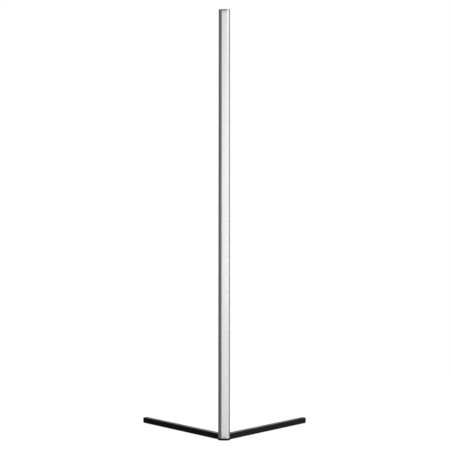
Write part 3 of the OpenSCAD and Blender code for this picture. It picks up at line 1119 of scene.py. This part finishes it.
def make_radio_cover(low, high):
    """Its top is pressed in a little inside a flat border."""
    cover = block("radio_cover", low, high)
    bevel_corners(cover, 0.8 * MM, 4)
    select_facing(cover, 0, 1, 0)
    inset(0.5 * MM)
    inset(0.1 * MM, -0.12 * MM)
    object_mode()
    soften_edges(cover, 0.06 * MM)
    finish(cover, "component_metal", "radio_module")


def make_aerial(face, lowest, highest, reach):
    """A track that winds to and fro over the radio board's free end."""
    width = 0.35 * MM
    height = 0.04 * MM
    turns = 8
    pitch = 2 * reach / turns
    half = width / 2
    climbs = ((1, lowest + width, highest), (-1, highest - width, lowest))
    track = block("radio_aerial", (-reach, face, lowest), (-reach + width, face + height, lowest + width))
    for turn in range(turns):
        x = -reach + turn * pitch
        upwards, end, top = climbs[turn % 2]
        select_faces(track, lambda centre, normal: (
            normal.z * upwards > FACING and near(centre.z, end) and near(centre.x, x + half)
        ))
        extrude(0, 0, upwards * (highest - lowest - 2 * width))
        extrude(0, 0, upwards * width)
        object_mode()
        select_faces(track, lambda centre, normal: (
            normal.x > FACING and near(centre.z, top - upwards * half) and near(centre.x, x + width)
        ))
        extrude(pitch - width, 0, 0)
        extrude(width, 0, 0)
        object_mode()
    tidy_mesh(track)
    smooth_shading(track)
    finish(track, "component_metal")


def bent_leg(start, side, floor):
    """A flat tinned leg: it comes out along X, bends down to the board, and ends in a foot."""
    half_width = 0.2 * MM
    thickness = 0.2 * MM
    out = side * 0.25 * MM
    foot = side * 0.4 * MM
    x, y, z = start
    leg = block("driver_leg", (x, y, z - half_width), (x + out, y + thickness, z + half_width))
    select_facing(leg, side, 0, 0)
    extrude(0.5 * out, floor - y, 0)
    extrude(foot, 0, 0)
    object_mode()
    tidy_mesh(leg)
    return leg


def make_driver_chip():
    """A moulded body with a dimple at its first leg, and four bent legs at each side."""
    low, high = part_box("driver_chip")
    shoulder = 0.8 * MM
    lift = 0.15 * MM
    pitch = 1.1 * MM
    body = block("driver_body", (low.x + shoulder, low.y + lift, low.z), (high.x - shoulder, high.y, high.z))
    corner = (high.x - shoulder - 0.6 * MM, high.z - 0.7 * MM)
    cut_away(body, rod("dimple_cutter", 0.3 * MM, high.y - 0.1 * MM, high.y + MM, corner, steps=16))
    soften_edges(body, 0.08 * MM)
    finish(body, "component_black", "driver_chip")
    centre = (low + high) / 2
    legs = []
    for side, x in ((-1, low.x + shoulder), (1, high.x - shoulder)):
        for step in (-1.5, -0.5, 0.5, 1.5):
            legs.append(bent_leg((x, centre.y, centre.z + step * pitch), side, low.y))
    finish_joined(legs, "driver_legs", "component_metal")


def make_capacitor():
    """A rolled can with a cross scored into its top, on its moulded base."""
    low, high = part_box("capacitor")
    base = (high.x - low.x) / 2
    length = high.y - low.y
    can = base - 0.1 * MM
    neck = can - 0.35 * MM
    piece = turned_piece("buffer_capacitor", [
        (can - 0.6 * MM, 0), (can - 0.2 * MM, -0.1 * MM), (can, -0.35 * MM), (can, 1.6 * MM - length),
        (neck, 1.35 * MM - length), (neck, 1.1 * MM - length), (can, 0.9 * MM - length),
        (base, 0.8 * MM - length), (base, -length),
    ], steps=48)
    for turn in (45, 135):
        cut_slot(piece, 0.25 * MM, 3.8 * MM, 0.12 * MM, turn)
    finish_on_rear(piece, "component_black", "capacitor")


def connector_contact(x, y, top):
    """A square pin with a tapered end."""
    size = 0.6 * MM
    contact = block("contact", (x - size / 2, y, top - 2.2 * MM), (x + size / 2, y + size, top))
    select_facing(contact, 0, 0, 1)
    extrude(0, 0, 0.3 * MM)
    bpy.ops.transform.resize(value=(0.4, 0.4, 1))
    object_mode()
    return contact


def make_lead_connector():
    """A white housing: three ways for the leads below, and an opening with three contacts above."""
    low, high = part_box("lead_connector")
    lead_pitch = 3 * MM
    lead_y = low.y + 1.2 * MM
    housing = block("connector_housing", low, high)
    select_facing(housing, 0, 0, 1)
    inset(0.7 * MM)
    extrude(0, 0, -2.5 * MM)
    object_mode()
    contacts = []
    for x in (-lead_pitch, 0, lead_pitch):
        cut_away(housing, cylinder("way_cutter", 0.8 * MM, 1.6 * MM, (x, lead_y, low.z), steps=24))
        contacts.append(connector_contact(x, lead_y, high.z - 0.8 * MM))
    soften_edges(housing, 0.12 * MM)
    finish(housing, "white_strip", "lead_connector")
    finish_joined(contacts, "connector_contacts", "component_metal")


def make_switch_and_receiver():
    softened_node("switch_body", "switch_housing", 0.2 * MM, "component_metal")
    softened_node("ir_receiver", "receiver_body", 0.15 * MM, "component_black")


finish_cad_nodes()
make_pole_sections()
make_diffuser()
make_top_cap()
make_control_panel()
make_foot()
make_legs()
make_leg_plugs()
make_leg_pads()
make_end_screws("top_cap_screws", "cap_fixings", 3.0 * MM, turn=0)
make_end_screws("foot_screws", "foot_fixings", 3.1 * MM, turn=math.pi)
make_joiner_screws()
make_panel_screws()
make_leg_screws()
make_power_button()
make_switch_stem()
make_window()
make_inlet()
make_joiners()
make_chip_frames()
make_chip_lenses()
make_strip_pads()
make_strip_resistors()
make_board()
make_solder_joints()
make_radio()
make_driver_chip()
make_capacitor()
make_lead_connector()
make_switch_and_receiver()


# ---- Floor, light and camera ----

WHITE = (1, 1, 1, 1)
FLOOR_WHITE = 0.84
CONTACT_REACH = 6 * MM
FILL_LEVEL = 0.43
# The studio as the lamp's surfaces mirror it: degrees round from the camera's side, and the brightness there
PANORAMA = (
    (-180, 1.1), (-175, 0.8), (-170, 0.05), (-148, 0.42), (-130, 0.42), (-116, 0.02), (-60, 0.01),
    (-44, 0.015), (-32, 0.06), (-24, 0.165), (-10, 0.39), (0, 0.6), (8, 1.0), (12, 1.55), (20, 1.35),
    (35, 1.4), (38, 0.01), (78, 0.01), (84, 0.42), (96, 0.42), (102, 0.01), (120, 0.01), (130, 0.42),
    (148, 0.42), (170, 0.05), (175, 0.8), (180, 1.1),
)
# It is dimmer towards the floor: the heights of the ray's direction between which it fades, and by how much
DIM_BELOW = (-0.22, 0.0)
DIM_LEVEL = 0.62
# Fitted to the edges of the pole and of the legs in the photograph
CAMERA_PLACE = (0.0131, -2.4438, 0.5293)
CAMERA_TURN = (90 + 3.906, -0.036, 0.243)
CAMERA_LENS = 59.49


def make_floor():
    """White to the camera, with the lamp's soft shadow from its diffuse part and a painted contact shadow
    under the lamp. Glossy surfaces mirror the studio through it.
    """
    deselect_all()
    bpy.ops.mesh.primitive_plane_add(size=30, location=(0, 0, 0))
    floor = named("floor")
    material = bpy.data.materials.new("floor_white")
    material.use_nodes = True
    tree = material.node_tree
    tree.nodes.clear()
    path = add_node(tree, "ShaderNodeLightPath")
    shaded = add_node(tree, "ShaderNodeBsdfDiffuse", {"Color": (0.38, 0.38, 0.38, 1)})
    # Painted shadow: the floor's white glow fades where ambient occlusion finds the lamp close above it,
    # under the legs and the foot.
    hidden = add_node(tree, "ShaderNodeAmbientOcclusion", {"Distance": CONTACT_REACH}, samples=8)
    glow_with_painted_contact_shadow = rescaled(tree, hidden.outputs["AO"], 0.1, 0.5, 0.0, FLOOR_WHITE)
    white = add_node(tree, "ShaderNodeEmission", {"Color": WHITE, "Strength": glow_with_painted_contact_shadow})
    seen = add_node(tree, "ShaderNodeAddShader", {0: shaded.outputs[0], 1: white.outputs[0]})
    plain = add_node(tree, "ShaderNodeBsdfDiffuse", {"Color": (0.55, 0.55, 0.55, 1)})
    clear = add_node(tree, "ShaderNodeBsdfTransparent")
    solid = mixed(tree, path.outputs["Is Diffuse Ray"], seen.outputs[0], plain.outputs[0])
    surface = mixed(tree, path.outputs["Is Glossy Ray"], solid, clear.outputs[0])
    add_node(tree, "ShaderNodeOutputMaterial", {"Surface": surface})
    floor.data.materials.append(material)


def make_panorama(tree):
    """The brightness that a glossy surface mirrors, by the direction that the ray leaves in."""
    direction = add_node(tree, "ShaderNodeTexCoord").outputs["Generated"]
    split = add_node(tree, "ShaderNodeSeparateXYZ", {0: direction})
    forward = maths(tree, "SUBTRACT", 0.0, split.outputs["Y"])
    around = maths(tree, "ARCTAN2", split.outputs["X"], forward)
    ramp = add_node(tree, "ShaderNodeValToRGB", {"Fac": rescaled(tree, around, -math.pi, math.pi)})
    elements = ramp.color_ramp.elements
    while len(elements) < len(PANORAMA):
        elements.new(0.5)
    for element, (degrees, level) in zip(elements, PANORAMA):
        element.position = (degrees + 180) / 360
        element.color = (level, level, level, 1)
    height = rescaled(tree, split.outputs["Z"], *DIM_BELOW, DIM_LEVEL, 1.0)
    return add_node(tree, "ShaderNodeBackground", {"Color": ramp.outputs["Color"], "Strength": height})


def make_world():
    """White behind the lamp, a panorama for its glossy surfaces and an even fill for the rest."""
    world = bpy.data.worlds.new("studio")
    bpy.context.scene.world = world
    world.use_nodes = True
    tree = world.node_tree
    tree.nodes.clear()
    path = add_node(tree, "ShaderNodeLightPath")
    seen = add_node(tree, "ShaderNodeBackground", {"Color": WHITE, "Strength": 1.0})
    fill = add_node(tree, "ShaderNodeBackground", {"Color": WHITE, "Strength": FILL_LEVEL})
    mirrored = make_panorama(tree)
    lighting = mixed(tree, path.outputs["Is Glossy Ray"], fill.outputs[0], mirrored.outputs[0])
    direct = maths(tree, "MAXIMUM", path.outputs["Is Camera Ray"], path.outputs["Is Transmission Ray"])
    shown = mixed(tree, direct, lighting, seen.outputs[0])
    add_node(tree, "ShaderNodeOutputWorld", {"Surface": shown})


def make_lamp(name, place, target, size, power):
    data = bpy.data.lights.new(name, "AREA")
    data.shape = "RECTANGLE"
    data.size = size
    data.size_y = size
    data.energy = power
    lamp = bpy.data.objects.new(name, data)
    lamp.location = place
    lamp.rotation_euler = (Vector(target) - Vector(place)).to_track_quat("-Z", "Y").to_euler()
    lamp.visible_camera = False
    lamp.visible_glossy = False
    bpy.context.scene.collection.objects.link(lamp)


def make_camera():
    data = bpy.data.cameras.new("camera")
    data.lens = CAMERA_LENS
    data.sensor_width = 36
    data.clip_start = 0.05
    data.clip_end = 60
    camera = bpy.data.objects.new("camera", data)
    camera.location = CAMERA_PLACE
    camera.rotation_euler = [math.radians(angle) for angle in CAMERA_TURN]
    bpy.context.scene.collection.objects.link(camera)
    bpy.context.scene.camera = camera


make_floor()
make_world()
make_lamp("softbox_front", (0.45, -1.1, 0.8), target=(0, 0, 0.78), size=0.5, power=8.2)
make_lamp("softbox_top", (-0.3, -0.6, 3.0), target=(0, 0, 0.6), size=1.6, power=8)
make_camera()
bpy.context.scene.view_settings.view_transform = "Standard"
